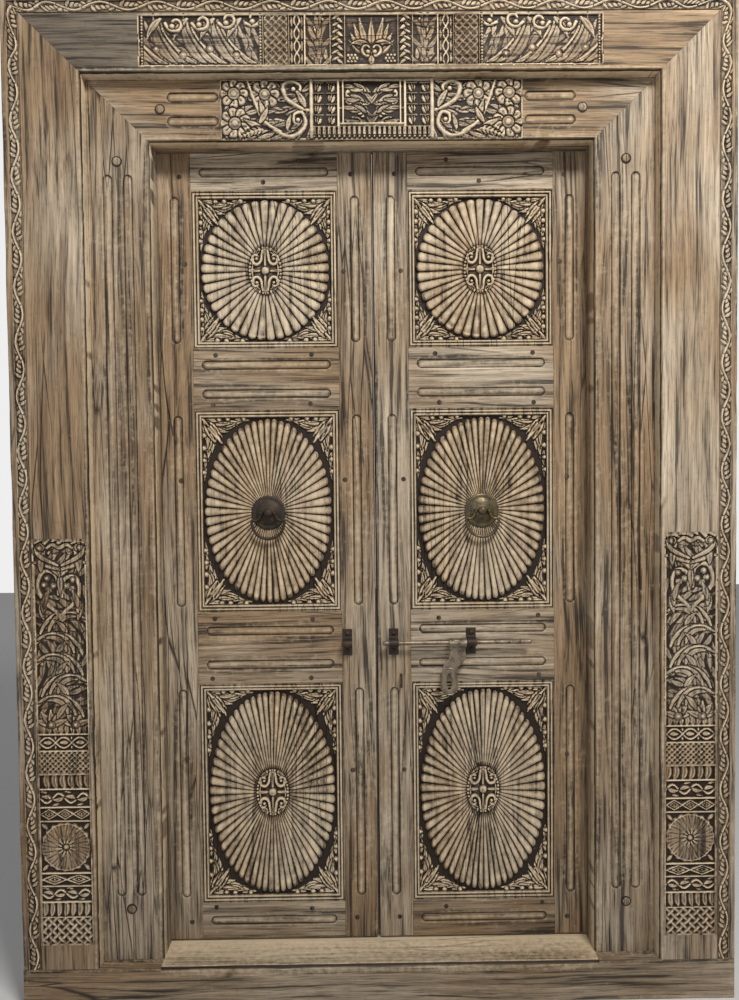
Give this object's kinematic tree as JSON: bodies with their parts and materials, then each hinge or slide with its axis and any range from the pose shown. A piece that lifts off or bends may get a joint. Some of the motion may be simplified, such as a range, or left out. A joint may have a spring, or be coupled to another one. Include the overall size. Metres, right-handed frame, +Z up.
{
  "type": "carved temple door",
  "caption": "Carved double-leaf timber door in its fluted and carved frame, with sunburst panels, ring pulls, a sliding bolt and a hasp.",
  "frame": {"origin": "middle of the foot of the frame, in the plane of its front face", "axes": "+X to the right seen from the front, +Y into the wall, +Z up"},
  "size_m": [1.72, 0.1643, 2.4],
  "materials": {
    "frame_wood": "weathered",
    "leaf_wood": "weathered",
    "panel_wood": "weathered",
    "pegs": "weathered",
    "iron": "pitted",
    "dark_pull": "worn",
    "bright_pull": "tarnished",
    "hinge_iron": "rusted"
  },
  "bodies": {
    "frame": {"frame_pegs": "pegs", "inner_lintel": "frame_wood", "left_hinge_jamb_halves": "hinge_iron", "left_inner_jamb": "frame_wood", "left_outer_jamb": "frame_wood", "outer_lintel": "frame_wood", "right_hinge_jamb_halves": "hinge_iron", "right_inner_jamb": "frame_wood", "right_outer_jamb": "frame_wood", "sill": "frame_wood"},
    "left_leaf": {"bolt_keeper": "iron", "keeper_nails": "iron", "left_bottom_panel": "panel_wood", "left_bottom_rail": "leaf_wood", "left_hinge_leaf_halves": "hinge_iron", "left_hinge_stile": "leaf_wood", "left_lower_rail": "leaf_wood", "left_meeting_stile": "leaf_wood", "left_middle_panel": "panel_wood", "left_pull_plate": "dark_pull", "left_top_panel": "panel_wood", "left_top_rail": "leaf_wood", "left_upper_rail": "leaf_wood"},
    "right_leaf": {"bolt_straps": "iron", "hasp_staple": "iron", "right_bottom_panel": "panel_wood", "right_bottom_rail": "leaf_wood", "right_hinge_leaf_halves": "hinge_iron", "right_hinge_stile": "leaf_wood", "right_lower_rail": "leaf_wood", "right_meeting_stile": "leaf_wood", "right_middle_panel": "panel_wood", "right_pull_plate": "bright_pull", "right_top_panel": "panel_wood", "right_top_rail": "leaf_wood", "right_upper_rail": "leaf_wood", "strap_nails": "iron"},
    "left_ring": {"left_pull_ring": "dark_pull"},
    "right_ring": {"right_pull_ring": "bright_pull"},
    "bolt": {"bolt_rod": "iron"},
    "hasp": {"hasp": "iron"}
  },
  "joints": [
    {"name": "left_leaf_swing", "type": "hinge", "parent": "frame", "child": "left_leaf", "pos_m": [-0.54125, 0.1573, 1], "axis": [0, 0, 1], "range_deg": [0, 100]},
    {"name": "right_leaf_swing", "type": "hinge", "parent": "frame", "child": "right_leaf", "pos_m": [0.54125, 0.1573, 1], "axis": [0, 0, -1], "range_deg": [0, 100]},
    {"name": "left_ring_lift", "type": "hinge", "parent": "left_leaf", "child": "left_ring", "pos_m": [-0.26775, 0.099, 1.188], "axis": [-1, 0, 0], "range_deg": [-5, 150]},
    {"name": "right_ring_lift", "type": "hinge", "parent": "right_leaf", "child": "right_ring", "pos_m": [0.26775, 0.099, 1.188], "axis": [-1, 0, 0], "range_deg": [-5, 150]},
    {"name": "bolt_slide", "type": "slide", "parent": "right_leaf", "child": "bolt", "axis": [1, 0, 0], "range_m": [-0.1195, 0]},
    {"name": "hasp_lift", "type": "hinge", "parent": "bolt", "child": "hasp", "pos_m": [0.2025, 0.088, 0.86], "axis": [-1, 0, 0], "range_deg": [-6, 150]}
  ]
}
